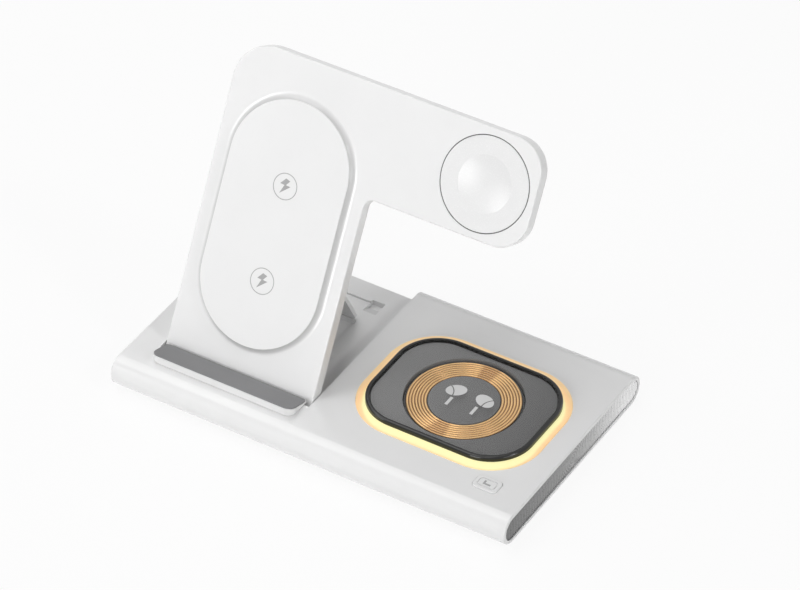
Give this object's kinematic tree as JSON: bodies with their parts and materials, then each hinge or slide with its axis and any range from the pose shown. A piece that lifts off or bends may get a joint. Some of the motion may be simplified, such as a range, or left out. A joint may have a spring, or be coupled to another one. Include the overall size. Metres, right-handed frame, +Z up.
{
  "type": "three in one wireless charger",
  "caption": "Folding wireless charger: flat base with a lit earbud pad, a hinged leaning panel with a phone pad and a watch disc on a side arm, and a prop leg behind.",
  "frame": {"origin": "middle of the base's plan at the level of the feet's undersides", "axes": "+X along the base to the user's right, +Y to the back, +Z up; the user sits at -Y"},
  "size_m": [0.165, 0.0966, 0.1164],
  "materials": {
    "shell_white": "smooth white moulding",
    "panel_white": "fine satin white moulding",
    "end_grey": "satin grey",
    "strip_grey": "soft matt grey",
    "foot_rubber": "soft matt grey",
    "frame_black": "polished black",
    "window_smoke": "clear smoked panel",
    "light_warm": "frosted, lit warm from below",
    "copper_wire": "bright copper wire",
    "plate_grey": "satin dark grey",
    "ferrite": "dull dark grey",
    "steel": "plain steel",
    "board_green": "solder mask",
    "chip_black": "moulded black",
    "lamp_white": "pale lamp chips",
    "magnet": "plated",
    "back_white": "satin white moulding"
  },
  "bodies": {
    "base": {"base_shell": "shell_white", "bottom_cover": "back_white", "left_end_cap": "end_grey", "right_end_cap": "end_grey", "ledge_bar": "shell_white", "ledge_pad": "strip_grey", "rubber_feet": "foot_rubber", "cover_screws": "steel", "board_screws": "steel", "main_board": "board_green", "board_chips": "chip_black", "usb_socket": "steel", "button_switch": "chip_black", "light_leds": "lamp_white", "light_guide": "light_warm", "pad_frame": "frame_black", "pad_window": "window_smoke", "pad_plate": "plate_grey", "coil_core": "plate_grey", "earbud_shield": "ferrite", "earbud_coil": "copper_wire", "hinge_pins": "steel"},
    "panel": {"panel_front": "panel_white", "panel_back": "back_white", "phone_coil_lower": "copper_wire", "phone_coil_upper": "copper_wire", "phone_shield": "ferrite", "watch_disc": "panel_white", "watch_ring": "strip_grey", "watch_coil": "copper_wire", "watch_magnet": "magnet", "leg_pin": "steel"},
    "leg": {"support_leg": "back_white"},
    "key": {"light_button": "shell_white"}
  },
  "joints": [
    {"name": "panel_hinge", "type": "hinge", "parent": "base", "child": "panel", "pos_m": [-0.04025, -0.02795, 0.0075], "axis": [-1, 0, 0], "range_deg": [0, 62]},
    {"name": "leg_hinge", "type": "hinge", "parent": "panel", "child": "leg", "pos_m": [-0.04025, -0.00002, 0.05833], "axis": [1, 0, 0], "range_deg": [0, 124.44]},
    {"name": "key_press", "type": "slide", "parent": "base", "child": "key", "axis": [0, 0, -1], "range_m": [0, 0.0005], "stiffness_N_per_m": 2000, "springref_m": -0.0002}
  ],
  "couplings": [
    {"joint": "leg_hinge", "follows": "panel_hinge", "ratio": 2.0072}
  ]
}
